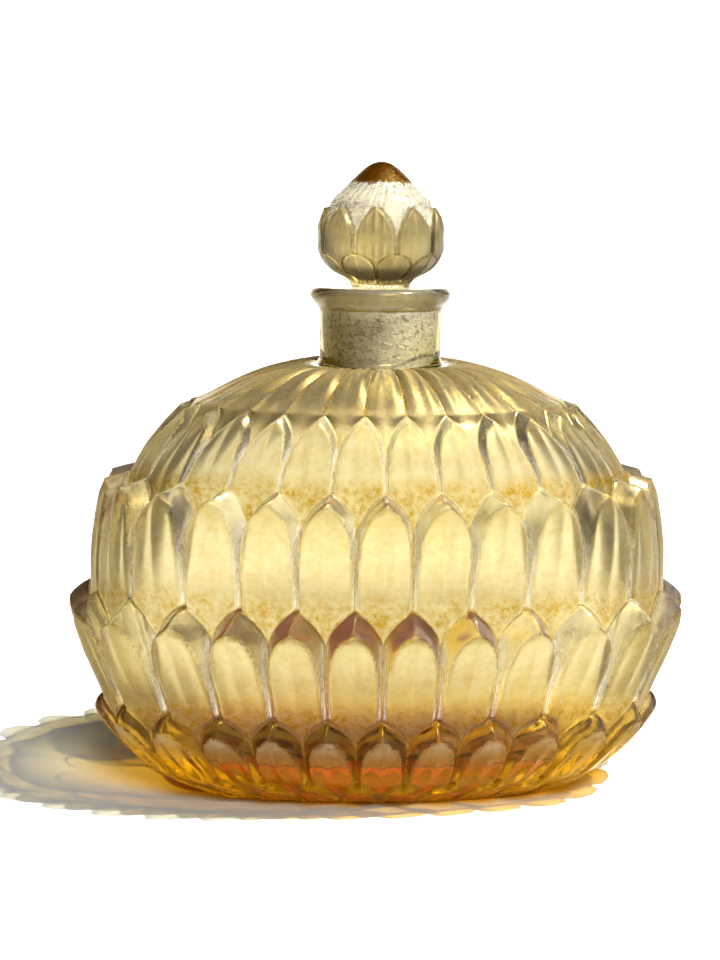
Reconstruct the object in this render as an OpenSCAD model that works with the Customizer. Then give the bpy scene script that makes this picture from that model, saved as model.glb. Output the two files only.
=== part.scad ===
// Perfume flacon of moulded glass, clad in rows of overlapping petals, with a
// ground glass stopper shaped as a closed bud and a residue of perfume inside.
// Origin at the centre of the foot, +Z up, the broad front looks along -Y.

/* [Bottle] */
// Half width of the bottle at the tips of its widest row of petals
body_half_w = 52; // [46:0.5:58]
// Half depth of the bottle at the tips of its deepest row of petals
body_half_d = 27; // [24:0.5:31]
// Height of the foot of the neck above the table
neck_z = 78; // [72:0.5:84]
// Number of petals in each row
petals = 26; // [22:2:30]
// How far the petals stand out, as a share of the normal amount
petal_relief = 1; // [0.6:0.05:1.1]

/* [Neck] */
// Outer radius of the neck
neck_r = 10.9; // [10:0.1:11.5]
// Height of the lip's rim above the foot of the neck
lip_h = 13.9; // [13:0.1:16]
// Outer radius of the lip's bead
lip_r = 12.6; // [12:0.1:13.5]
// Radius of the ground bore where the funnel of the lip meets it
bore_r = 7; // [6.4:0.05:7.4]

/* [Stopper] */
// Largest radius of the bud
bud_r = 11.2; // [9.5:0.1:12.5]
// Height of the stopper's point above the foot of the neck
bud_top = 35.7; // [32:0.1:39]
// Radius of the waist between the bud and the ground plug
waist_r = 5.2; // [4.5:0.1:5.6]
// Gap between the ground plug and its bore, in radius
plug_gap = 0.05; // [0.02:0.01:0.09]

/* [Perfume] */
// Height of the perfume's surface above the table
perfume_z = 9.5; // [7.5:0.5:14]

/* [Hidden] */
$fn = 96;

// Rings through the petals' tips, from the shoulder down to the foot: shares of
// the half width, the half depth and the neck's height
TIPS = [[0.63, 0.84, 0.92], [0.84, 1.0, 0.765], [1.0, 0.87, 0.495], [0.975, 0.79, 0.233],
        [0.856, 0.72, 0.075], [0.675, 0.53, 0]];
// Each row of petals: thickness at the top, drop of the ledge, height of the arch,
// share of the petal that its face takes, and the length in which the face widens
ROWS = [[2.3, 0.9, 7.0, 0.90, 2.4], [5.1, 1.5, 7.6, 0.87, 3.0], [4.6, 3.7, 7.2, 0.81, 2.4],
        [2.9, 3.3, 5.6, 0.80, 1.8], [1.4, 1.8, 3.2, 0.85, 1.2]];
// Thickness left in a petal where the tips of the next row begin, and how fast it thins
low_thick = 0.7;
thinning = 1.3;
// Columns of points for each petal, and the levels of points down a row: -1 on the
// outline, 0 where the ledge ends, 1 on the outline of the next row
col_n = 6;
LEVELS = [-1, 0, 0.5, 0.8];
// The ledge is shallower in the grooves by this share
groove_ease = 0.6;
// The shoulder's leaves: levels from the neck outward, their relief, and the power
// that bends the shoulder down, with the part of it that is added at the front
LEAF_LEVELS = [0.12, 0.35, 0.6, 0.82];
leaf_relief = 0.8;
shoulder_bend = 1.5;
front_bend = 1.4;

// The inside of the bottle: half width, half depth, height above the table
CAVITY = [[14, 5, 4], [29, 10, 6.4], [36.5, 13.5, 10], [44, 17, 18], [48, 19.5, 38], [40.5, 22, 58],
          [28, 19, 69], [14, 12, 73.5]];
cavity_cols = 52;
// The bore's narrow end, below the foot of the neck, and the funnel above it
bore_low = 6.4;
bore_foot = neck_z - 6;
funnel_h = 2.6;

// Bud: petals round it, columns for each, its turn about the axis, and its outline
// as shares of bud_r and of the height from the waist to the point
bud_petals = 9;
bud_cols = 6;
bud_turn = -8;
waist_z = neck_z + 14.6;
BUD = [[0.47, 0], [0.55, 0.04], [0.79, 0.11], [0.915, 0.19], [0.98, 0.27], [1, 0.355], [0.99, 0.445],
       [0.95, 0.53], [0.885, 0.61], [0.83, 0.655], [0.765, 0.69], [0.59, 0.775], [0.44, 0.855],
       [0.3, 0.925], [0.17, 0.975]];
// Depth of the grooves between the bud's petals, and the levels where they run
bud_groove = 0.35;
GROOVE_LEVELS = [0.05, 0.62];
plug_foot = neck_z + 1.5;

row_n = len(ROWS);
col_total = petals * col_n;

function mix(p, q, s) = p + (q - p) * s;

// A point on an oval of four arcs, at a share t of its length from the front
function oval(a, b, t) =
  let (f = t - floor(t + 0.5), end_r = 0.8 * b, d = a - end_r, e = b - end_r)
  let (c = (d * d - e * e) / (2 * e), side_r = b + c, turn = atan2(d, c))
  let (side = side_r * turn, quarter = side + end_r * (90 - turn), run = abs(f) * 4 * quarter)
  let (s = min(run, 2 * quarter - run), ang = s < side ? s / side_r : turn + (s - side) / end_r)
  let (x = s < side ? side_r * sin(ang) : d + end_r * sin(ang))
  let (y = s < side ? c - side_r * cos(ang) : -end_r * cos(ang))
  [sign(f) * x, run > quarter ? -y : y];

// The ring through the tips of a row, in millimetres
function tip_ring(k) = [TIPS[k][0] * body_half_w, TIPS[k][1] * body_half_d, TIPS[k][2] * neck_z];

// Slope of the under-surface at a ring, and the under-surface at height z
function ring_slope(k) =
  let (p = tip_ring(max(k - 1, 0)), q = tip_ring(min(k + 1, row_n)))
  [(q[0] - p[0]) / (q[2] - p[2]), (q[1] - p[1]) / (q[2] - p[2])];
function span_at(z) = len([for (k = [1:row_n - 1]) if (z < tip_ring(k)[2]) 1]);
function under(z) =
  let (k = span_at(z), p = tip_ring(k), q = tip_ring(k + 1), h = q[2] - p[2], s = (z - p[2]) / h)
  let (u = ring_slope(k), v = ring_slope(k + 1))
  [for (i = [0, 1]) (2 * s ^ 3 - 3 * s ^ 2 + 1) * p[i] + (s ^ 3 - 2 * s ^ 2 + s) * h * u[i]
     + (3 * s ^ 2 - 2 * s ^ 3) * q[i] + (s ^ 3 - s ^ 2) * h * v[i]];

// Petals: distance across one (0 on its ridge, 1 in the groove) and its outline
function across(k, t) = let (s = t * petals + (k % 2 == 0 ? 0.5 : 0)) 2 * abs(s - round(s));
function arch_drop(k, x) = ROWS[k][2] * (asin(x) / 90) ^ 1.18;
function outline(k, d) = d >= ROWS[k][2] ? 1 : sin(90 * (max(d, 0) / ROWS[k][2]) ^ 0.85);
function face_edge(k, d) =
  let (e = d - ROWS[k][1], ledge_slope = 0.6 / ROWS[k][1])
  e < 0 ? ledge_slope * e : ROWS[k][3] * (1 - exp(-e / ROWS[k][4]));

// Height of a petal over the under-surface, from 0 at its outline to 1 on its face
function rise(k, x, d) =
  let (o = outline(k, d), w = face_edge(k, d)) d <= 0 ? 0 : min(1, max(0, (o - x) / (o - w)));

// Thickness of a row's petals at a depth d below their tips
function petal_thick(k, d) =
  let (h = tip_ring(k)[2] - tip_ring(k + 1)[2], arch = k + 1 < row_n ? ROWS[k + 1][2] : 0.01)
  let (s = max(0, (d - ROWS[k][1]) / (h - ROWS[k][1])))
  let (low = k + 1 < row_n ? low_thick : 0)
  petal_relief * (s < 1 ? mix(low, ROWS[k][0], (1 - s) ^ thinning)
                        : low * max(0, 1 - (d - h) / arch));
function petal_stand(k, t, z) =
  k < 0 ? 0 : let (d = tip_ring(k)[2] - z) petal_thick(k, d) * rise(k, across(k, t), d);

// Height of the outline of row k in a direction; below the last row it is the table
function outline_z(k, t) = k == row_n ? 0 : tip_ring(k)[2] - arch_drop(k, across(k, t));

// A point of the skin at a level of row k
function skin_point(k, t, level) =
  let (x = across(k, t), top = outline_z(k, t), ledge = ROWS[k][1] * (1 - groove_ease * x))
  let (z = level < 0 ? top : mix(top - ledge, outline_z(k + 1, t), level), d = tip_ring(k)[2] - z)
  let (r = rise(k, x, d), out = petal_stand(k - 1, t, z) * (1 - r) + petal_thick(k, d) * r)
  let (ring = under(z), p = oval(ring[0] + out, ring[1] + out, t))
  [p[0], p[1], z];

// A point of the shoulder's leaves at a share s of the way from the neck
function leaf_point(t, s) =
  let (tips = tip_ring(0), a = mix(neck_r, tips[0], s), b = mix(neck_r, tips[1], s), p = oval(a, b, t))
  let (lift = leaf_relief * sin(180 * s) * (1 - across(1, t) ^ 4))
  let (bend = shoulder_bend + front_bend * (p[1] / b) ^ 2)
  [p[0], p[1], neck_z - (neck_z - tips[2]) * s ^ bend + lift];

// A closed solid from rings of equal count, listed from the top down
module ring_solid(rings) {
  n = len(rings[0]);
  m = len(rings);
  mid = function (ring) [for (i = [0:2]) [for (p = ring) p[i]] * [for (p = ring) 1] / n];
  points = [for (ring = rings) each ring, mid(rings[0]), mid(rings[m - 1])];
  walls = [for (j = [0:m - 2], i = [0:n - 1])
    let (a = j * n + i, b = j * n + (i + 1) % n)
    each [[a, b, b + n], [a, b + n, a + n]]];
  top = [for (i = [0:n - 1]) [(i + 1) % n, i, n * m]];
  foot = [for (i = [0:n - 1]) [(m - 1) * n + i, (m - 1) * n + (i + 1) % n, n * m + 1]];
  polyhedron(points, [each walls, each top, each foot]);
}

module petal_skin() {
  turns = [for (i = [0:col_total - 1]) i / col_total];
  ring_solid([
    for (s = LEAF_LEVELS) [for (t = turns) leaf_point(t, s)],
    for (k = [0:row_n - 1], level = LEVELS) [for (t = turns) skin_point(k, t, level)],
    [for (t = turns) [each oval(tip_ring(row_n)[0], tip_ring(row_n)[1], t), 0]]
  ]);
}

module cavity(top_z, gap) {
  rings = [for (c = CAVITY) if (c[2] < top_z) c];
  k = len(rings);
  lid = k < len(CAVITY) ? [mix(rings[k - 1], CAVITY[k], (top_z - rings[k - 1][2])
    / (CAVITY[k][2] - rings[k - 1][2]))] : [];
  all = [each rings, each lid];
  ring_solid([for (j = [len(all) - 1:-1:0]) [for (i = [0:cavity_cols - 1])
    [each oval(all[j][0] - gap, all[j][1] - gap, i / cavity_cols), all[j][2] + (j == 0 ? gap : 0)]]]);
}

// The neck with a fillet at its foot and a rounded bead for a lip
module neck() {
  bead_r = 1.25;
  foot_r = 1.4;
  translate([0, 0, neck_z]) rotate_extrude() polygon([
    [0, -2.2], [neck_r + foot_r + 0.6, -2.2],
    for (a = [0:15:75]) [neck_r + foot_r * (1 - sin(a)), 0.2 + foot_r * (1 - cos(a))],
    [neck_r, 0.2 + foot_r],
    [neck_r, lip_h - 3.9], [neck_r + 0.35, lip_h - 3.2], [neck_r + 0.95, lip_h - 2.3],
    for (a = [-30:20:90]) [lip_r - bead_r + bead_r * cos(a), lip_h - bead_r + bead_r * sin(a)],
    [0, lip_h]
  ]);
}

module bore() {
  top = neck_z + lip_h;
  translate([0, 0, bore_foot])
    cylinder(h = top - funnel_h - bore_foot, r1 = bore_low, r2 = bore_r);
  translate([0, 0, top - funnel_h - 0.01])
    cylinder(h = funnel_h + 0.02, r1 = bore_r, r2 = bore_r + funnel_h * 1.1);
}

module bottle() color([0.87, 0.76, 0.5]) difference() {
  union() {
    petal_skin();
    neck();
  }
  cavity(neck_z, 0);
  bore();
}

// A point of the bud, with the grooves between its petals
function bud_point(p, i) =
  let (x = 2 * abs(i / bud_cols - round(i / bud_cols)))
  let (grooved = p[1] >= GROOVE_LEVELS[0] && p[1] <= GROOVE_LEVELS[1])
  let (r = p[0] * bud_r - (grooved ? bud_groove * x ^ 3 : 0))
  let (ang = i * 360 / (bud_petals * bud_cols) + bud_turn)
  [r * sin(ang), -r * cos(ang), waist_z + p[1] * (neck_z + bud_top - waist_z)];

module bud() {
  ring_solid([for (j = [len(BUD) - 1:-1:0]) [for (i = [0:bud_petals * bud_cols - 1])
    bud_point(BUD[j], i)]]);
  translate([0, 0, neck_z + bud_top - 1]) cylinder(h = 1, r1 = BUD[len(BUD) - 1][0] * bud_r, r2 = 0.3);
}

module plug() {
  top = neck_z + lip_h - funnel_h;
  slope = (bore_r - bore_low) / (top - bore_foot);
  translate([0, 0, plug_foot])
    cylinder(h = top - plug_foot, r1 = bore_low + slope * (plug_foot - bore_foot) - plug_gap,
             r2 = bore_r - plug_gap);
  translate([0, 0, top]) cylinder(h = 1, r1 = bore_r - plug_gap, r2 = waist_r);
  translate([0, 0, top]) cylinder(h = waist_z + 0.5 - top, r = waist_r);
}

module stopper() color([0.9, 0.86, 0.7]) {
  bud();
  plug();
}

module perfume() color([0.75, 0.25, 0.05]) cavity(perfume_z, 0.05);

bottle();
stopper();
perfume();
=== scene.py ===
import math

import bpy
import numpy as np
from mathutils import Matrix, Vector

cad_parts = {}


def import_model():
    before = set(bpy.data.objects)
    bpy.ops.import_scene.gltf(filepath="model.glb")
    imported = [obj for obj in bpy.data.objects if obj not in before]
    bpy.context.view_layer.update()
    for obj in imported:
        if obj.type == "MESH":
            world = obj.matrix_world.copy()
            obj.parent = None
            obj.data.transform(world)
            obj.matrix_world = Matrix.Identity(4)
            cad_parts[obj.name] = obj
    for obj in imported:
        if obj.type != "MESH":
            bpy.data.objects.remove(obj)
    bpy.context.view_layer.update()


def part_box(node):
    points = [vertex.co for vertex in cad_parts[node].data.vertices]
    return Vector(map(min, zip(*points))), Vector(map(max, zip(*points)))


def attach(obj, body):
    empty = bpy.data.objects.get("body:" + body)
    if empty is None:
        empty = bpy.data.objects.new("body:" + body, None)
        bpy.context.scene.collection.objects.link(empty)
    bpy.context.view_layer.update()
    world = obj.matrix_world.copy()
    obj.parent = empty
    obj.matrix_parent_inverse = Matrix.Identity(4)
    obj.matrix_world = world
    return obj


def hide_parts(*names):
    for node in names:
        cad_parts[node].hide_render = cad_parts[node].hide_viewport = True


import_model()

# Perfume flacon of moulded glass clad in overlapping petals, with a bud stopper.
# Lengths below are millimetres, turned into metres where a mesh is made.
MM = 0.001


def top_of(node):
    """Height of a CAD node's top, in millimetres."""
    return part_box(node)[1][2] / MM


# ---------------------------------------------------------------- proportions
BOTTLE_TOP = top_of("bottle")
LIP_H = 13.9
NECK_Z = BOTTLE_TOP - LIP_H
NECK_R = 10.9
LIP_R = 12.6
BORE_R = 7.0
BORE_LOW_R = 6.4
BORE_FOOT = NECK_Z - 6
FUNNEL_H = 2.6
FUNNEL_SPREAD = 1.1 * FUNNEL_H
HALF_W = 52.0
HALF_D = 27.0
PETALS = 26

# Rings through the tips of each row: half width, half depth, height
TIPS = np.array([[0.63, 0.84, 0.92], [0.84, 1.0, 0.765], [1.0, 0.87, 0.495], [0.975, 0.79, 0.233],
                 [0.856, 0.72, 0.075], [0.675, 0.53, 0]]) * [HALF_W, HALF_D, NECK_Z]
# Each row of petals: thickness at the top, drop of the ledge, height of the arch,
# share of the petal that its face takes, and the length in which the face widens
ROWS = [(2.3, 0.9, 7.0, 0.90, 2.4), (5.1, 1.5, 7.6, 0.87, 3.0), (4.6, 3.7, 7.2, 0.81, 2.4),
        (2.9, 3.3, 5.6, 0.80, 1.8), (1.4, 1.8, 3.2, 0.85, 1.2)]
ROW_LEVELS = (19, 25, 22, 17, 11)
LOW_THICK = 0.7
# How a petal thins towards its foot, and how its outline and arch are rounded
THIN_POWER = 1.3
OUTLINE_POWER = 0.85
ARCH_POWER = 1.18
# Radius of the two ends of an oval, as a share of its half depth
END_SHARE = 0.8
# Finish of the petals, row by row from the top
FACE_SATIN = (1.0, 1.0, 1.0, 0.2, 0.8)
FACE_SATIN_LOWER = (0.0, 0.0, 0.0, 1.8, 0.0)
REST_SATIN = (0.5, 0.45, 0.3, 0.1, 0.0)
BEVEL_FROST = (0.10, 0.12, 0.16, 0.0, 0.0)
FACE_FROST = (0.0, 0.0, 0.0, 0.30, 0.0)
# painted shade: the top of each face is darkened just under the ledge of the row above
TOP_PAINTED_SHADE = (0.75, 0.6, 0.1, 0.15, 0.3)
# stain at the foot of each face, deepened towards the groove below as painted shade
FOOT_STAIN_AND_SHADE = (1.0, 0.9, 1.0, 0.2, 0.4)
BEVEL_STAIN = (0.0, 0.0, 0.15, 0.3, 0.2)
# Share of their height that the shoulder's leaves keep down to the first row
LEAF_END = 0.45
COLS = 26
# How the rings crowd towards the top of a row, and the heights between which the amber sets in
RING_CROWDING = 1.35
AMBER_NONE, AMBER_FULL = 16, 8
# Finish of the shoulder; its stain is darkened further as painted shade
LEAF_SATIN = 0.85
# stain on the shoulder's leaves, darkened further as painted shade
LEAF_STAIN_AND_SHADE = 0.65
CAVITY = [(14, 5, 4), (29, 10, 6.4), (36.5, 13.5, 10), (44, 17, 18), (48, 19.5, 38), (40.5, 22, 58),
          (28, 19, 69), (14, 12, 73.5)]

BUD_R = 11.2
WAIST_R = 5.2
WAIST_Z = NECK_Z + 14.6
BUD_TOP = top_of("stopper")
BUD_PETALS = 9
BUD_COLS = 56
BUD_TURN = 8
PLUG_FOOT = NECK_Z + 1.5
PLUG_GAP = 0.05
PERFUME_TOP = top_of("perfume")


# The camera: lens and sensor, angles in degrees, and its place in millimetres
LENS = 52.5
SENSOR = 36.0
YAW, PITCH, ROLL = 1.88, 10.6, 0.41
CAMERA_SIDE = 3.4
CAMERA_AWAY = 252
CAMERA_OVER_NECK = 25.9

# Brightness of the room: a soft panel overhead, the wall behind, and the rest
PANEL = 0.16
WALL = 2.0
ROOM = 0.03
# The white that the camera sees, and how the picture is exposed
SURROUND = 1.05
EXPOSURE = -0.3


# ---------------------------------------------------------------- ring mathematics
def oval(a, b, t):
    """Points on an oval of four arcs, at shares t of its length from the front."""
    a, b, t = np.broadcast_arrays(np.asarray(a, float), np.asarray(b, float), np.asarray(t, float))
    f = t - np.floor(t + 0.5)
    end_r = END_SHARE * b
    d = a - end_r
    e = b - end_r
    c = (d * d - e * e) / (2 * e)
    side_r = b + c
    turn = np.arctan2(d, c)
    side = side_r * turn
    quarter = side + end_r * (math.pi / 2 - turn)
    run = np.abs(f) * 4 * quarter
    s = np.minimum(run, 2 * quarter - run)
    on_side = s < side
    ang = np.where(on_side, s / side_r, turn + (s - side) / end_r)
    x = np.where(on_side, side_r * np.sin(ang), d + end_r * np.sin(ang))
    y = np.where(on_side, c - side_r * np.cos(ang), -end_r * np.cos(ang))
    return np.sign(f) * x, np.where(run > quarter, -y, y)


def under(z):
    """Half width and half depth of the surface that the petals stand on, at heights z."""
    slopes = np.zeros((len(TIPS), 2))
    for k in range(len(TIPS)):
        p, q = TIPS[max(k - 1, 0)], TIPS[min(k + 1, len(TIPS) - 1)]
        slopes[k] = (q[:2] - p[:2]) / (q[2] - p[2])
    k = np.clip(np.searchsorted(-TIPS[:, 2], -z, side="right") - 1, 0, len(TIPS) - 2)
    p, q = TIPS[k], TIPS[k + 1]
    h = (q[..., 2] - p[..., 2])[..., None]
    s = ((z - p[..., 2]) / h[..., 0])[..., None]
    return ((2 * s**3 - 3 * s**2 + 1) * p[..., :2] + (s**3 - 2 * s**2 + s) * h * slopes[k]
            + (3 * s**2 - 2 * s**3) * q[..., :2] + (s**3 - s**2) * h * slopes[k + 1])


def across(k, t):
    """Distance across a petal of row k: 0 on its ridge, 1 in the groove."""
    s = t * PETALS + (0.5 if k % 2 == 0 else 0.0)
    return 2 * np.abs(s - np.round(s))


def arch_drop(k, x):
    return ROWS[k][2] * (np.arcsin(np.clip(x, 0, 1)) / (math.pi / 2)) ** ARCH_POWER


def outline(k, d):
    share = np.clip(d / ROWS[k][2], 0, 1)
    return np.sin(math.pi / 2 * share**OUTLINE_POWER)


def face_edge(k, d):
    e = d - ROWS[k][1]
    full, run = ROWS[k][3:]
    return np.where(e < 0, 0.6 * e / ROWS[k][1], full * (1 - np.exp(-np.maximum(e, 0) / run)))


def soft_cap(h, width=0.06):
    """Like min(h, 1) with a rounded shoulder."""
    return np.where(h < 1 - width, h, np.where(h > 1 + width, 1.0,
                    h - (h - 1 + width) ** 2 / (4 * width)))


def rise(k, x, d):
    """Height of a petal, from 0 at its outline to 1 on its face."""
    o = outline(k, d)
    w = face_edge(k, d)
    h = (o - x) / np.maximum(o - w, 1e-6)
    return np.where(d <= 0, 0.0, np.clip(soft_cap(h), 0, 1))


def petal_thick(k, d):
    last = k + 1 == len(ROWS)
    h = TIPS[k][2] - TIPS[k + 1][2]
    arch = 0.01 if last else ROWS[k + 1][2]
    low = 0.0 if last else LOW_THICK
    s = np.maximum(0, (d - ROWS[k][1]) / (h - ROWS[k][1]))
    return np.where(s < 1, low + (ROWS[k][0] - low) * np.maximum(1 - s, 0) ** THIN_POWER,
                    low * np.maximum(0, 1 - (d - h) / arch))


def petal_stand(k, t, z):
    if k < 0:
        return np.zeros_like(z)
    d = TIPS[k][2] - z
    return petal_thick(k, d) * rise(k, across(k, t), d)


def step(lo, hi, v):
    s = np.clip((v - lo) / (hi - lo), 0, 1)
    return s * s * (3 - 2 * s)


# ---------------------------------------------------------------- bottle
class Sheet:
    """A closed surface grown from one end to the other as a stack of rings."""

    # the second mark holds stains and painted shade alike
    MARKS = ("satin", "patina_and_shade", "ground", "amber")

    def __init__(self):
        self.points = []
        self.faces = []
        self.marks = []
        self.last = None

    def add(self, pts, satin=0.0, patina_and_shade=0.0, ground=0.0, amber=0.0):
        n = len(pts)
        start = sum(len(p) for p in self.points)
        self.points.append(np.asarray(pts, float))
        self.marks.append(np.stack([np.broadcast_to(m, n) for m in (satin, patina_and_shade, ground, amber)], 1))
        if self.last is not None:
            self.join(self.last, (start, n))
        self.last = (start, n)

    def join(self, low, high):
        """Faces between two rings; one count is a multiple of the other."""
        (a, n), (b, m) = low, high
        big, small = max(n, m), min(n, m)
        r = big // small
        for i in range(big):
            j = (i + 1) % big
            if n == m:
                self.faces.append((a + i, a + j, b + j, b + i))
            elif n > m:
                c = b + (i + r // 2) // r % m
                self.faces.append((a + i, a + j, c))
            else:
                c = a + (i + r // 2) // r % n
                self.faces.append((b + j, b + i, c))
        if n != m:
            for i in range(small):
                j = (i + 1) % small
                turn = (i * r + r - r // 2) % big
                if n > m:
                    self.faces.append((a + turn, b + j, b + i))
                else:
                    self.faces.append((b + turn, a + i, a + j))

    def build(self, name):
        pts = np.concatenate(self.points) * MM
        mesh = bpy.data.meshes.new(name)
        mesh.from_pydata(pts.tolist(), [], self.faces)
        marks = np.concatenate(self.marks)
        for i, mark in enumerate(self.MARKS):
            layer = mesh.attributes.new(mark, "FLOAT", "POINT")
            layer.data.foreach_set("value", np.ascontiguousarray(marks[:, i], dtype=np.float32))
        mesh.shade_smooth()
        mesh.validate()
        mesh.update()
        piece = bpy.data.objects.new(name, mesh)
        bpy.context.scene.collection.objects.link(piece)
        return piece


def ring_at(a, b, z, n):
    t = np.arange(n) / n
    x, y = oval(a, b, t)
    return np.stack([x, y, np.broadcast_to(z, n)], 1)


def round_ring(r, z, n):
    ang = 2 * math.pi * np.arange(n) / n
    return np.stack([r * np.sin(ang), -r * np.cos(ang), np.broadcast_to(z, n)], 1)


def smooth_rows(rows, steps):
    """Catmull-Rom points through a short list of rows."""
    rows = np.asarray(rows, float)
    padded = np.vstack([2 * rows[0] - rows[1], rows, 2 * rows[-1] - rows[-2]])
    out = []
    for i in range(len(rows) - 1):
        p0, p1, p2, p3 = padded[i:i + 4]
        for s in np.arange(steps) / steps:
            out.append(0.5 * (2 * p1 + (p2 - p0) * s + (2 * p0 - 5 * p1 + 4 * p2 - p3) * s**2
                              + (3 * p1 - p0 - 3 * p2 + p3) * s**3))
    out.append(rows[-1])
    return out


def skin_ring(k, v, t):
    """One ring of the petals' skin at a share v of the way down row k."""
    x = across(k, t)
    top = TIPS[k][2] - arch_drop(k, x)
    last = k + 1 == len(ROWS)
    foot = 0 if last else TIPS[k + 1][2] - arch_drop(k + 1, across(k + 1, t))
    z = top + (foot - top) * v
    d = TIPS[k][2] - z
    r = rise(k, x, d)
    h = TIPS[k][2] - TIPS[k + 1][2]
    # a midrib between two shallow channels on the face, and a keel on the ledge above it
    face = step(0.9, 1.0, r) * step(0.0, 3.0, d - ROWS[k][1])
    fade = 1 - 0.7 * step(0.6, 1.0, d / h)
    ribs = face * fade * (0.20 * np.cos(2 * math.pi * x / 0.80) + 0.22 * np.exp(-(x / 0.09) ** 2))
    keel = 0.28 * np.exp(-(x / 0.07) ** 2) * step(0.0, 0.25, r) * step(1.0, 0.8, r)
    above = petal_stand(k - 1, t, z) * (1 - r)
    out = above + petal_thick(k, d) * r + ribs + keel
    ring = under(z)
    px, py = oval(ring[:, 0] + out, ring[:, 1] + out, t)
    on_face = step(0.86, 1.0, r) * step(-0.2, 0.6, d - ROWS[k][1])
    above_face = step(0.05, 0.0, r)
    down = np.clip(d / h, 0, 1.2)
    satin = on_face * (FACE_SATIN[k] + FACE_SATIN_LOWER[k] * step(0.8, 0.3, down))
    satin = np.maximum(satin, REST_SATIN[k])
    bevel = step(0.02, 0.12, r) * step(1.0, 0.9, r)
    beside = step(0.8, 0.95, x)
    frost = BEVEL_FROST[k] * bevel * (1 + 3 * beside)
    frost = frost + FACE_FROST[k] * on_face * step(0.75, 0.2, down)
    hollow = np.exp(-((1 - x) / 0.10) ** 2) * (1 - on_face)
    # painted shade darkens the top of each face just under the ledge
    top_shade = TOP_PAINTED_SHADE[k] * step(0.4, 0.05, down)
    # the foot of each face takes stain, with painted shade towards the groove below
    foot_stain_and_shade = FOOT_STAIN_AND_SHADE[k] * step(0.66, 1.0, down)
    # this mark carries stains and painted shade together
    patina_and_shade = np.clip(above_face * 0.75 + hollow * 0.4 + on_face * (top_shade + foot_stain_and_shade)
                     + bevel * BEVEL_STAIN[k], 0, 1)
    return np.stack([px, py, z], 1), satin, patina_and_shade, frost


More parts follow.
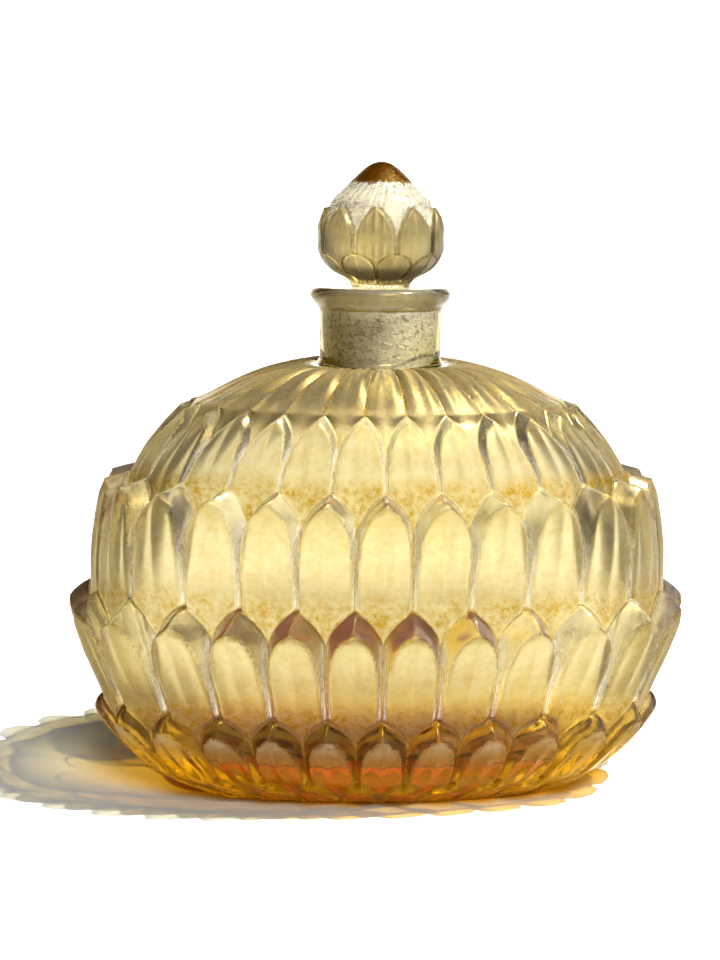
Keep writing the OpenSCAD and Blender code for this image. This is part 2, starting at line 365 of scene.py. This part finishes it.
def bottle_sheet():
    sheet = Sheet()
    n = PETALS * COLS
    t = np.arange(n) / n
    few = n // 4
    foot_a, foot_b = TIPS[-1][:2]
    # underside: a shallow recess inside the ring it stands on
    for share, lift in ((0.02, 0.9), (0.3, 0.9), (0.6, 0.85), (0.8, 0.7), (0.88, 0.3), (0.92, 0.0)):
        sheet.add(ring_at(foot_a * share, foot_b * share, lift, few), amber=1)
    sheet.add(np.stack([*oval(foot_a, foot_b, t), np.zeros(n)], 1), amber=1)
    for k in reversed(range(len(ROWS))):
        levels = ROW_LEVELS[k]
        for j in reversed(range(levels)):
            v = (j / levels) ** RING_CROWDING
            pts, satin, patina_and_shade, frost = skin_ring(k, v, t)
            sheet.add(pts, satin, patina_and_shade, frost, step(AMBER_NONE, AMBER_FULL, pts[:, 2]))
    # the shoulder's leaves reach down between the tips of the first row
    x = across(0, t)
    leaf = across(1, t)
    crown = 0.85 * (1 - leaf**4) - 0.14 * np.cos(2 * math.pi * leaf / 0.9)
    for u in np.linspace(0.15, 0.95, 6):
        z = TIPS[0][2] - arch_drop(0, x) * (1 - u)
        ring = under(z)
        out = LEAF_END * crown * step(0.0, 1.0, u)
        px, py = oval(ring[:, 0] + out, ring[:, 1] + out, t)
        # stain on the leaves darkened by painted shade, and deeper between them
        sheet.add(np.stack([px, py, z], 1), LEAF_SATIN, LEAF_STAIN_AND_SHADE + 0.3 * step(0.75, 1.0, leaf))
    for s in [0.985, *np.linspace(0.965, 0.16, 14)]:
        swell = max(math.sin(math.pi * s) ** 0.7, LEAF_END * step(0.8, 0.97, s))
        steep = step(0.6, 1.0, s)
        out = crown * swell * steep
        a, b = (NECK_R + (TIPS[0][i] - NECK_R) * s + out for i in (0, 1))
        px, py = oval(a, b, t)
        fall = s ** (1.5 + 1.4 * (py / b) ** 2)
        z = NECK_Z - (NECK_Z - TIPS[0][2]) * fall + crown * swell * (1 - steep)
        satin = LEAF_SATIN * step(1.0, 0.8, leaf)
        # stain on the leaves darkened by painted shade, and deeper between them
        sheet.add(np.stack([px, py, z], 1), satin, LEAF_STAIN_AND_SHADE + 0.35 * step(0.75, 1.0, leaf))
    # neck, bead, funnel, bore
    foot_r = 1.5
    for ang in np.radians(np.arange(10, 91, 16)):
        z = NECK_Z + 0.1 + foot_r * (1 - math.cos(ang))
        sheet.add(round_ring(NECK_R + foot_r * (1 - math.sin(ang)), z, few))
    for z in np.linspace(NECK_Z + 2.4, BOTTLE_TOP - 4.3, 8):
        sheet.add(round_ring(NECK_R, z, few))
    bead = 1.25
    for r, drop, line in ((NECK_R, 3.95, 0.0), (NECK_R + 0.08, 3.8, 1.6), (NECK_R + 0.3, 3.6, 1.6),
                          (NECK_R + 0.42, 3.4, 0.0), (NECK_R + 0.85, 2.85, 0.0), (NECK_R + 1.25, 2.35, 0.0)):
        sheet.add(round_ring(r, BOTTLE_TOP - drop, few), satin=0.25, patina_and_shade=line, ground=0.1)
    for ang in np.radians(np.arange(-40, 91, 13)):
        z = BOTTLE_TOP - bead + bead * math.sin(ang)
        sheet.add(round_ring(LIP_R - bead + bead * math.cos(ang), z, few), satin=0.25, ground=0.1)
    funnel_r = BORE_R + FUNNEL_SPREAD
    for r, drop in ((funnel_r + 0.9, 0.0), (funnel_r + 0.35, 0.12), (funnel_r - 0.1, 0.45)):
        sheet.add(round_ring(r, BOTTLE_TOP - drop, few))
    for s in np.linspace(0.3, 0.95, 6):
        sheet.add(round_ring(BORE_R + (1 - s) * FUNNEL_SPREAD, BOTTLE_TOP - FUNNEL_H * s, few), satin=0.9)
    bore_top = BOTTLE_TOP - FUNNEL_H
    for s in np.linspace(0.0, 0.84, 14):
        sheet.add(round_ring(BORE_R + (BORE_LOW_R - BORE_R) * s, bore_top + (BORE_FOOT - bore_top) * s, few),
                  ground=1.0)
    # the inside
    throat = [(7.2, 6.9, 75.2), (BORE_LOW_R + 0.1, BORE_LOW_R + 0.05, 76.6)]
    for a, b, z in reversed(smooth_rows(CAVITY + throat, 5)):
        sheet.add(ring_at(a, max(b, 0.5), z, few), satin=0.3 * float(step(60.0, 68.0, z)))
    for share in (0.75, 0.45, 0.15):
        sheet.add(ring_at(CAVITY[0][0] * share, CAVITY[0][1] * share, CAVITY[0][2] - 0.5 * (1 - share), few))
    return sheet


def cap_ends(sheet):
    """Closes both ends of a sheet with a fan to a middle point."""
    total = sum(len(p) for p in sheet.points)
    first, last = sheet.points[0], sheet.points[-1]
    start = total - len(last)
    sheet.points.append(np.array([first.mean(0), last.mean(0)]))
    sheet.marks.append(np.zeros((2, len(sheet.MARKS))))
    for i in range(len(first)):
        sheet.faces.append((i, total, (i + 1) % len(first)))
    for i in range(len(last)):
        sheet.faces.append((start + i, start + (i + 1) % len(last), total + 1))


# ---------------------------------------------------------------- stopper
BUD = [(0.47, 0), (0.55, 0.04), (0.79, 0.11), (0.915, 0.19), (0.98, 0.27), (1, 0.355), (0.99, 0.445),
       (0.95, 0.53), (0.885, 0.61), (0.83, 0.655), (0.765, 0.69), (0.59, 0.775), (0.44, 0.855),
       (0.3, 0.925), (0.17, 0.975), (0.05, 0.997)]


def across_bud(t, shift):
    """Distance across a petal of the bud: 0 on its midrib, 1 where it meets the next."""
    s = t * BUD_PETALS + shift
    return 2 * np.abs(s - np.round(s))


def line_at(v, middle, width):
    return np.exp(-((v - middle) / width) ** 2)


def bud_petal(x, d, arch):
    """Distance in from a bud petal's outline, the line along it, and the face, d below its tip."""
    edge = np.sin(math.pi / 2 * np.clip(d / arch, 0, 1) ** 0.7) - x
    inside = step(0.0, 0.02, d)
    return edge, line_at(edge, 0.07, 0.07) * inside, step(0.03, 0.2, edge) * inside


def stopper_sheet():
    sheet = Sheet()
    n = BUD_PETALS * BUD_COLS
    few = n // 2
    top = BOTTLE_TOP - FUNNEL_H
    slope = (BORE_R - BORE_LOW_R) / (top - BORE_FOOT)
    plug_low = BORE_LOW_R + slope * (PLUG_FOOT - BORE_FOOT) - PLUG_GAP
    plug_top = BORE_R - PLUG_GAP
    sheet.add(round_ring(0.5, PLUG_FOOT, few), ground=0.6)
    sheet.add(round_ring(plug_low - 0.5, PLUG_FOOT, few), ground=0.8)
    sheet.add(round_ring(plug_low - 0.12, PLUG_FOOT + 0.12, few), ground=1)
    for s in np.linspace(0.04, 1, 14):
        z = PLUG_FOOT + (top - PLUG_FOOT) * s
        sheet.add(round_ring(plug_low + (plug_top - plug_low) * s, z, few), ground=1)
    for s in (0.25, 0.6, 0.9):
        sheet.add(round_ring(plug_top + (WAIST_R - plug_top) * s, top + 0.95 * s, few), ground=0.3)
    for z in (top + 1.2, WAIST_Z - 1.0, WAIST_Z - 0.4):
        sheet.add(round_ring(WAIST_R, z, few))
    t = np.arange(n) / n
    tall = BUD_TOP - WAIST_Z
    tip_z, small_z = 0.635, 0.255
    ang = 2 * math.pi * t
    turn = ang - math.radians(BUD_TURN)
    large = across_bud(t, 0.0)
    small = across_bud(t, 0.5)
    for r, share in smooth_rows(BUD, 7):
        edge, line, face = bud_petal(large, tip_z - share, 0.30)
        _, small_line, small_face = bud_petal(small, small_z - share, 0.125)
        line = line * step(small_z - 0.03, small_z + 0.07, share)
        core = 0.75 * step(0.72, 0.6, share) * step(0.0, 0.1, share)
        veins = 0.16 * np.exp(-(large / 0.06) ** 2) + 0.08 * np.exp(-((large - 0.38) / 0.07) ** 2)
        relief = -core * (1 - face) - 0.35 * line + 0.16 * line_at(edge, 0.24, 0.07) + veins * face
        small_relief = 0.1 - 0.9 * small_line + 0.14 * np.exp(-(small / 0.08) ** 2)
        shown = small_face * step(0.0, 0.05, share)
        relief = relief * (1 - shown) + small_relief * shown
        relief = relief - 0.25 * small_line * (1 - shown)
        cone = step(0.36, 0.48, share) * step(0.86, 0.82, share) * (1 - face)
        crinkle = (np.sin(9 * ang + 40 * share) * np.sin(23 * ang - 65 * share)
                   + np.sin(31 * ang + 150 * share + 2 * np.sin(7 * ang)) * np.sin(17 * ang - 190 * share))
        rad = np.minimum(r * BUD_R + relief + 0.07 * cone * crinkle, BUD_R)
        pts = np.stack([rad * np.sin(turn), -rad * np.cos(turn), np.full(n, WAIST_Z + share * tall)], 1)
        ragged = 0.826 + 0.010 * np.sin(5 * ang) + 0.010 * np.sin(13 * ang + 1) + 0.008 * np.sin(29 * ang)
        cap = 2.4 * step(-0.004, 0.006, share - ragged)
        satin = np.clip(0.8 * np.maximum(face, shown), 0, 1)
        stain = np.maximum(cap, 0.8 * np.maximum(line * (1 - shown), 1.6 * small_line))
        sheet.add(pts, satin, stain, 0.35 * (1 - face) * step(0.3, 0.5, share) * step(0.84, 0.82, share))
    return sheet


# ---------------------------------------------------------------- perfume
def perfume_sheet():
    sheet = Sheet()
    n = 160
    lap = 0.12
    rows = [r for r in smooth_rows(CAVITY, 8) if r[2] < PERFUME_TOP]
    for share in (0.15, 0.45, 0.75):
        z = CAVITY[0][2] - 0.5 * (1 - share) + 0.06
        sheet.add(ring_at(CAVITY[0][0] * share, CAVITY[0][1] * share, z, n))
    for a, b, z in rows:
        sheet.add(ring_at(a + lap, b + lap, z, n))
    a, b, _ = rows[-1]
    for share in (0.995, 0.985, 0.96, 0.6, 0.2):
        z = PERFUME_TOP - 0.35 * step(1.0, 0.95, np.array(share))
        sheet.add(ring_at((a + lap) * share, (b + lap) * share, z, n))
    return sheet


# ---------------------------------------------------------------- materials
GLASS_IOR = 1.5
LIQUID_IOR = 1.36
GLINT = (1.0, 0.78, 0.30, 1.0)
# Roughness of each finish, and what polished glass keeps
SATIN_ROUGH = 0.40
STAIN_AND_SHADE_ROUGH = 0.3
GROUND_ROUGH = 0.45
POLISHED_ROUGH = 0.02
# How much of the light stops at the surface of glass under stains and painted shade, and of ground and amber
# glass
STAIN_AND_SHADE_BODY = 0.32
GROUND_BODY = (0.68, 0.94)
AMBER_BODY = 0.19
FILM = 0.20
# Tints of the light from lamps behind the glass: head on or grazing, high up or low down
HEAD_ON_CLEAR = (0.91, 0.94, 0.99)
HEAD_ON_SATIN = (0.79, 0.82, 0.88)
HEAD_ON_LOW = (0.84, 0.74, 0.42)
GRAZING_HIGH = (0.42, 0.43, 0.46)
GRAZING_LOW = (0.36, 0.29, 0.07)
THROUGH_AMBER = (0.76, 0.54, 0.06)


class Nodes:
    """Short names for building a node tree."""

    def __init__(self, material):
        material.use_nodes = True
        self.tree = material.node_tree
        self.tree.nodes.clear()
        is_world = isinstance(material, bpy.types.World)
        kind = "ShaderNodeOutputWorld" if is_world else "ShaderNodeOutputMaterial"
        self.out = self.tree.nodes.new(kind)

    def node(self, kind, **values):
        made = self.tree.nodes.new(kind)
        for key, value in values.items():
            setattr(made, key, value)
        return made

    def link(self, source, target):
        self.tree.links.new(source, target)

    def mark(self, name):
        return self.node("ShaderNodeAttribute", attribute_name=name).outputs["Fac"]

    def noise(self, scale, detail=4.0, rough=0.55, distortion=0.0):
        coords = self.node("ShaderNodeTexCoord")
        noise = self.node("ShaderNodeTexNoise")
        noise.inputs["Scale"].default_value = scale
        noise.inputs["Detail"].default_value = detail
        noise.inputs["Roughness"].default_value = rough
        noise.inputs["Distortion"].default_value = distortion
        self.link(coords.outputs["Object"], noise.inputs["Vector"])
        return noise.outputs["Fac"]

    def math(self, how, a, b):
        made = self.node("ShaderNodeMath", operation=how)
        for socket, value in zip(made.inputs, (a, b)):
            if isinstance(value, (int, float)):
                socket.default_value = value
            else:
                self.link(value, socket)
        return made.outputs[0]

    def ramp(self, value, low, high, out_low=0.0, out_high=1.0):
        made = self.node("ShaderNodeMapRange", clamp=True)
        for socket, number in zip(made.inputs[1:5], (low, high, out_low, out_high)):
            socket.default_value = number
        self.link(value, made.inputs[0])
        return made.outputs[0]

    def mix(self, share, a, b):
        made = self.node("ShaderNodeMix", data_type="RGBA")
        self.link(share, made.inputs[0])
        for socket, value in ((made.inputs[6], a), (made.inputs[7], b)):
            if isinstance(value, tuple):
                socket.default_value = (*value, 1.0)
            else:
                self.link(value, socket)
        return made.outputs[2]

    def let_lamps_through(self, shader, tint):
        """Shows the shader, and lets rays from lamps pass straight on in a tint."""
        through = self.node("ShaderNodeBsdfTransparent")
        self.link(tint, through.inputs["Color"])
        both = self.node("ShaderNodeMixShader")
        self.link(self.node("ShaderNodeLightPath").outputs["Is Shadow Ray"], both.inputs[0])
        self.link(shader.outputs[0], both.inputs[1])
        self.link(through.outputs[0], both.inputs[2])
        self.link(both.outputs[0], self.out.inputs["Surface"])


def glass(name, clear, satin, patina_and_shade, amber, deep, density, haze, ground_tint):
    """Tinted glass whose finish follows the satin, stain-and-shade, ground and amber marks of its mesh;
    stains and painted shade share one colour.
    """
    material = bpy.data.materials.new(name)
    n = Nodes(material)
    bsdf = n.node("ShaderNodeBsdfPrincipled")
    bsdf.inputs["IOR"].default_value = GLASS_IOR
    bsdf.inputs["Specular Tint"].default_value = GLINT
    satin_mark, patina_and_shade_mark, ground_mark = n.mark("satin"), n.mark("patina_and_shade"), n.mark("ground")
    speck = n.ramp(n.noise(900.0, 5.0, 0.7), 0.44, 0.60)
    blotch = n.ramp(n.noise(260.0, 4.0, 0.65, 0.4), 0.38, 0.66)
    stain = n.math("ADD", 0.35, n.math("MULTIPLY", 0.4, n.math("ADD", speck, blotch)))
    patina_and_shade_share = n.ramp(n.math("MULTIPLY", patina_and_shade_mark, stain), 0.0, 1.0)
    film = n.math("MULTIPLY", satin_mark, n.math("MULTIPLY", FILM, n.math("ADD", speck, blotch)))
    colour = n.mix(satin_mark, clear, satin)
    colour = n.mix(n.mark("amber"), colour, amber)
    # the stain colour is laid on both as stains and as painted shade
    colour = n.mix(n.math("MAXIMUM", patina_and_shade_share, film), colour, patina_and_shade)
    grain = n.ramp(n.noise(1100.0, 4.0, 0.7, 0.6), 0.36, 0.50)
    colour = n.mix(ground_mark, colour, n.mix(grain, tuple(0.6 * c for c in ground_tint), ground_tint))
    n.link(colour, bsdf.inputs["Base Color"])
    satin_rough = n.math("MULTIPLY", satin_mark, SATIN_ROUGH)
    rough = n.math("MAXIMUM", satin_rough, n.math("MULTIPLY", patina_and_shade_share, STAIN_AND_SHADE_ROUGH))
    rough = n.math("MAXIMUM", rough, n.math("MULTIPLY", ground_mark, GROUND_ROUGH))
    n.link(n.math("ADD", rough, POLISHED_ROUGH), bsdf.inputs["Roughness"])
    satin_body = n.math("MULTIPLY", satin_mark, haze)
    solid = n.math("MAXIMUM", satin_body, n.math("MULTIPLY", patina_and_shade_share, STAIN_AND_SHADE_BODY))
    solid = n.math("MAXIMUM", solid, n.math("MULTIPLY", ground_mark, n.ramp(grain, 0.0, 1.0, *GROUND_BODY)))
    solid = n.math("MAXIMUM", solid, n.math("MULTIPLY", n.mark("amber"), AMBER_BODY))
    n.link(n.math("SUBTRACT", 1.0, solid), bsdf.inputs["Transmission Weight"])
    bump = n.node("ShaderNodeBump")
    bump.inputs["Strength"].default_value = 0.4
    bump.inputs["Distance"].default_value = 0.0006
    fine_share = n.math("ADD", n.math("MULTIPLY", patina_and_shade_mark, 0.4), ground_mark)
    fine = n.math("MULTIPLY", n.noise(1600.0, 3.0, 0.7), fine_share)
    height = n.math("ADD", n.math("MULTIPLY", n.noise(230.0, 2.0, 0.5), 0.35), fine)
    n.link(height, bump.inputs["Height"])
    n.link(bump.outputs[0], bsdf.inputs["Normal"])
    # lamps shine through the glass, less where they graze it, and warmer low down
    grazing = n.ramp(n.node("ShaderNodeLayerWeight").outputs["Facing"], 0.25, 0.85)
    place = n.node("ShaderNodeSeparateXYZ")
    n.link(n.node("ShaderNodeTexCoord").outputs["Object"], place.inputs[0])
    low = n.ramp(place.outputs["Z"], 0.070, 0.015)
    straight = n.mix(low, n.mix(satin_mark, HEAD_ON_CLEAR, HEAD_ON_SATIN), HEAD_ON_LOW)
    grazed = n.mix(low, GRAZING_HIGH, GRAZING_LOW)
    through = n.mix(grazing, straight, grazed)
    n.let_lamps_through(bsdf, n.mix(n.mark("amber"), through, THROUGH_AMBER))
    volume = n.node("ShaderNodeVolumeAbsorption")
    volume.inputs["Color"].default_value = (*deep, 1.0)
    volume.inputs["Density"].default_value = density
    n.link(volume.outputs[0], n.out.inputs["Volume"])
    return material


def liquid(name):
    material = bpy.data.materials.new(name)
    n = Nodes(material)
    bsdf = n.node("ShaderNodeBsdfPrincipled")
    bsdf.inputs["IOR"].default_value = LIQUID_IOR
    bsdf.inputs["Transmission Weight"].default_value = 1.0
    tint = n.mix(n.ramp(n.noise(60.0, 3.0), 0.3, 0.7), (1.0, 0.86, 0.66), (1.0, 0.80, 0.55))
    n.link(tint, bsdf.inputs["Base Color"])
    n.link(n.ramp(n.noise(300.0), 0.3, 0.7, 0.0, 0.03), bsdf.inputs["Roughness"])
    n.let_lamps_through(bsdf, n.mix(n.noise(60.0), (0.42, 0.24, 0.02), (0.55, 0.32, 0.03)))
    volume = n.node("ShaderNodeVolumeAbsorption")
    volume.inputs["Color"].default_value = (0.955, 0.66, 0.0, 1.0)
    volume.inputs["Density"].default_value = 600.0
    n.link(volume.outputs[0], n.out.inputs["Volume"])
    return material


# ---------------------------------------------------------------- stage
def stage():
    floor_mesh = bpy.data.meshes.new("floor")
    half = 3.0
    corners = [(-half, -half, 0), (half, -half, 0), (half, half, 0), (-half, half, 0)]
    floor_mesh.from_pydata(corners, [], [(0, 1, 2, 3)])
    floor = bpy.data.objects.new("floor", floor_mesh)
    bpy.context.scene.collection.objects.link(floor)
    material = bpy.data.materials.new("floor_white")
    n = Nodes(material)
    bsdf = n.node("ShaderNodeBsdfPrincipled")
    bsdf.inputs["Base Color"].default_value = (0.82, 0.82, 0.82, 1)
    bsdf.inputs["Roughness"].default_value = 0.7
    bsdf.inputs["Specular IOR Level"].default_value = 0.1
    n.link(bsdf.outputs[0], n.out.inputs["Surface"])
    floor_mesh.materials.append(material)


def world():
    """A white surround for the camera, and a room with a bright wall behind the object for the rest."""
    made = bpy.data.worlds.new("studio")
    bpy.context.scene.world = made
    n = Nodes(made)
    split = n.node("ShaderNodeSeparateXYZ")
    n.link(n.node("ShaderNodeTexCoord").outputs["Generated"], split.inputs[0])
    panel = n.ramp(split.outputs["Z"], 0.66, 0.76)
    wall = n.math("MULTIPLY", n.ramp(split.outputs["Y"], 0.72, 0.92), n.ramp(split.outputs["Z"], 0.42, 0.30))
    glow = n.math("ADD", n.math("MULTIPLY", panel, PANEL), n.math("MULTIPLY", wall, WALL))
    glow = n.math("ADD", glow, ROOM)
    shine = n.node("ShaderNodeBackground")
    n.link(glow, shine.inputs["Strength"])
    seen = n.node("ShaderNodeBackground")
    seen.inputs["Color"].default_value = (1, 1, 1, 1)
    seen.inputs["Strength"].default_value = SURROUND
    both = n.node("ShaderNodeMixShader")
    n.link(n.node("ShaderNodeLightPath").outputs["Is Camera Ray"], both.inputs[0])
    n.link(shine.outputs[0], both.inputs[1])
    n.link(seen.outputs[0], both.inputs[2])
    n.link(both.outputs[0], n.out.inputs["Surface"])


def sun(name, azimuth, height, strength, spread, colour):
    """A distant lamp; azimuth is measured from +X towards +Y, both angles in degrees."""
    data = bpy.data.lights.new(name, "SUN")
    data.energy = strength
    data.angle = math.radians(spread)
    data.color = colour
    made = bpy.data.objects.new(name, data)
    az, el = math.radians(azimuth), math.radians(height)
    toward = Vector((math.cos(az) * math.cos(el), math.sin(az) * math.cos(el), math.sin(el)))
    made.rotation_euler = toward.to_track_quat("Z", "Y").to_euler()
    bpy.context.scene.collection.objects.link(made)


def lamp(name, place, target, size, watts, colour):
    data = bpy.data.lights.new(name, "AREA")
    data.shape = "DISK"
    data.size = size
    data.energy = watts
    data.color = colour
    made = bpy.data.objects.new(name, data)
    made.location = place
    made.rotation_euler = (Vector(target) - Vector(place)).to_track_quat("-Z", "Y").to_euler()
    bpy.context.scene.collection.objects.link(made)


def camera():
    data = bpy.data.cameras.new("camera")
    data.sensor_width = SENSOR
    data.lens = LENS
    made = bpy.data.objects.new("camera", data)
    bpy.context.scene.collection.objects.link(made)
    yaw, pitch, roll = (math.radians(v) for v in (YAW, PITCH, ROLL))
    ahead = Vector((math.sin(yaw), math.cos(yaw), 0))
    side = Vector((math.cos(yaw), -math.sin(yaw), 0))
    look = ahead * math.cos(pitch) - Vector((0, 0, math.sin(pitch)))
    upward = ahead * math.sin(pitch) + Vector((0, 0, math.cos(pitch)))
    right = side * math.cos(roll) + upward * math.sin(roll)
    up = upward * math.cos(roll) - side * math.sin(roll)
    place = side * -CAMERA_SIDE * MM - ahead * CAMERA_AWAY * MM
    place = place + Vector((0, 0, (NECK_Z + CAMERA_OVER_NECK) * MM))
    made.matrix_world = Matrix.Translation(place) @ Matrix((right, up, -look)).transposed().to_4x4()
    bpy.context.scene.camera = made


def main():
    camera()
    stage()
    world()
    sun("key", azimuth=-19, height=61, strength=4.4, spread=0.8, colour=(1.0, 0.99, 0.97))
    lamp("softbox_front", (0.10, -0.50, 0.50), (0, 0, 0.07), 0.30, 1.9, (1.0, 1.0, 1.0))
    lamp("sparkle", (0.16, -0.34, 0.36), (0, 0, 0.07), 0.03, 0.10, (1.0, 1.0, 1.0))

    # the bottle's stain colour paints stains and shade alike
    bottle_glass = glass("champagne_glass", clear=(1.0, 1.0, 0.97), satin=(1.0, 0.98, 0.91),
                         patina_and_shade=(0.54, 0.35, 0.03), amber=(1.0, 0.64, 0.03), deep=(0.83, 0.78, 0.53),
                         density=135.0, haze=0.09, ground_tint=(0.97, 0.95, 1.0))
    stopper_glass = glass("bud_glass", clear=(1.0, 1.0, 0.98), satin=(0.74, 0.71, 0.61),
                          patina_and_shade=(0.20, 0.09, 0.002), amber=(1.0, 1.0, 1.0), deep=(0.83, 0.79, 0.63),
                          density=190.0, haze=0.12, ground_tint=(0.80, 0.78, 0.69))

    bottle = bottle_sheet()
    cap_ends(bottle)
    bottle_piece = bottle.build("bottle_moulded_glass")
    bottle_piece.data.materials.append(bottle_glass)
    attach(bottle_piece, "bottle")
    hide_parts("bottle")

    stopper = stopper_sheet()
    cap_ends(stopper)
    stopper_piece = stopper.build("stopper_bud_glass")
    stopper_piece.data.materials.append(stopper_glass)
    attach(stopper_piece, "stopper")
    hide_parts("stopper")

    perfume = perfume_sheet()
    cap_ends(perfume)
    perfume_piece = perfume.build("perfume_residue")
    perfume_piece.data.materials.append(liquid("perfume_amber"))
    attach(perfume_piece, "bottle")
    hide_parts("perfume")

    scene = bpy.context.scene
    scene.view_settings.view_transform = "Standard"
    scene.view_settings.look = "Very High Contrast"
    scene.view_settings.exposure = EXPOSURE
    scene.cycles.max_bounces = 18
    scene.cycles.transmission_bounces = 16
    scene.cycles.glossy_bounces = 6
    scene.cycles.sample_clamp_indirect = 6.0
    scene.cycles.caustics_refractive = False
    scene.cycles.use_denoising = True


main()
